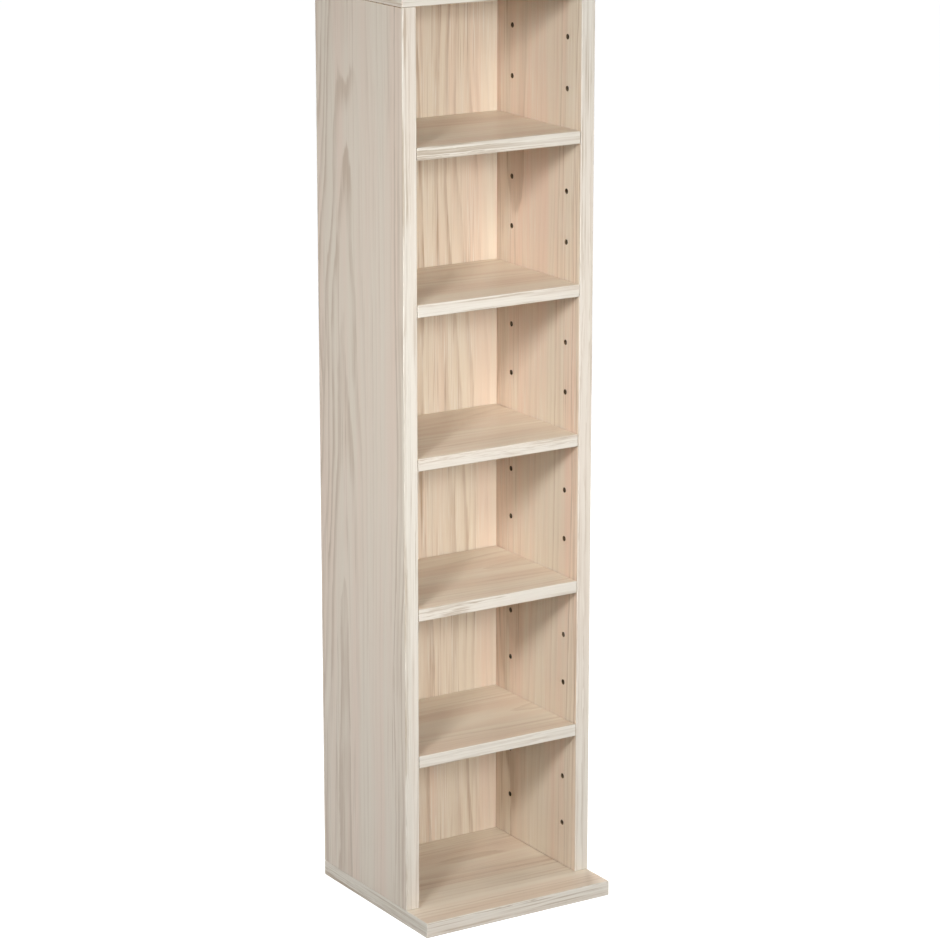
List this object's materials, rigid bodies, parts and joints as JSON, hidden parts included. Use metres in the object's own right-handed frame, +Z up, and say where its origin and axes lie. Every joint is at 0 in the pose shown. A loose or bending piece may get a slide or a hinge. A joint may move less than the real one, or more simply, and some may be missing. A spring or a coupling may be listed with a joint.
{
  "type": "disc case storage tower",
  "caption": "Tall narrow open shelf tower of pale wood-look board, with adjustable shelves on pins and a base board that projects in front.",
  "frame": {"origin": "on the floor, under the middle of the base board", "axes": "+Z up, -Y towards the open front, +X to the right seen from the front"},
  "size_m": [0.21, 0.197, 0.9],
  "materials": {
    "decor_board": "satin foil with a pale whitewashed softwood grain",
    "decor_shelf": "satin foil with a pale whitewashed softwood grain along the shelf",
    "decor_hardboard": "thin hardboard, pale softwood grain in front, plain brown behind",
    "nickel_steel": "nickel plated",
    "zinc_steel": "zinc plated",
    "beech": "raw fluted beech",
    "cream_plastic": "matt, coloured like the boards"
  },
  "bodies": {
    "carcase": {"base_board": "decor_board", "side_panel_left": "decor_board", "side_panel_right": "decor_board", "top_board": "decor_board", "back_panel": "decor_hardboard", "pin_shelf_1_left_front": "nickel_steel", "pin_shelf_1_left_rear": "nickel_steel", "pin_shelf_1_right_front": "nickel_steel", "pin_shelf_1_right_rear": "nickel_steel", "pin_shelf_2_left_front": "nickel_steel", "pin_shelf_2_left_rear": "nickel_steel", "pin_shelf_2_right_front": "nickel_steel", "pin_shelf_2_right_rear": "nickel_steel", "pin_shelf_3_left_front": "nickel_steel", "pin_shelf_3_left_rear": "nickel_steel", "pin_shelf_3_right_front": "nickel_steel", "pin_shelf_3_right_rear": "nickel_steel", "pin_shelf_4_left_front": "nickel_steel", "pin_shelf_4_left_rear": "nickel_steel", "pin_shelf_4_right_front": "nickel_steel", "pin_shelf_4_right_rear": "nickel_steel", "pin_shelf_5_left_front": "nickel_steel", "pin_shelf_5_left_rear": "nickel_steel", "pin_shelf_5_right_front": "nickel_steel", "pin_shelf_5_right_rear": "nickel_steel", "screw_top_left_front": "zinc_steel", "screw_top_left_rear": "zinc_steel", "screw_top_right_front": "zinc_steel", "screw_top_right_rear": "zinc_steel", "screw_base_left_front": "zinc_steel", "screw_base_left_rear": "zinc_steel", "screw_base_right_front": "zinc_steel", "screw_base_right_rear": "zinc_steel", "dowel_top_left_front": "beech", "dowel_top_left_rear": "beech", "dowel_top_right_front": "beech", "dowel_top_right_rear": "beech", "dowel_base_left_front": "beech", "dowel_base_left_rear": "beech", "dowel_base_right_front": "beech", "dowel_base_right_rear": "beech", "cap_left_front": "cream_plastic", "cap_left_rear": "cream_plastic", "cap_right_front": "cream_plastic", "cap_right_rear": "cream_plastic"},
    "shelf_1": {"shelf_1": "decor_shelf"},
    "shelf_2": {"shelf_2": "decor_shelf"},
    "shelf_3": {"shelf_3": "decor_shelf"},
    "shelf_4": {"shelf_4": "decor_shelf"},
    "shelf_5": {"shelf_5": "decor_shelf"}
  },
  "joints": [
    {"name": "shelf_1_slide", "type": "slide", "parent": "carcase", "child": "shelf_1", "axis": [0, -1, 0], "range_m": [0, 0.16]},
    {"name": "shelf_2_slide", "type": "slide", "parent": "carcase", "child": "shelf_2", "axis": [0, -1, 0], "range_m": [0, 0.16]},
    {"name": "shelf_3_slide", "type": "slide", "parent": "carcase", "child": "shelf_3", "axis": [0, -1, 0], "range_m": [0, 0.16]},
    {"name": "shelf_4_slide", "type": "slide", "parent": "carcase", "child": "shelf_4", "axis": [0, -1, 0], "range_m": [0, 0.16]},
    {"name": "shelf_5_slide", "type": "slide", "parent": "carcase", "child": "shelf_5", "axis": [0, -1, 0], "range_m": [0, 0.16]}
  ]
}
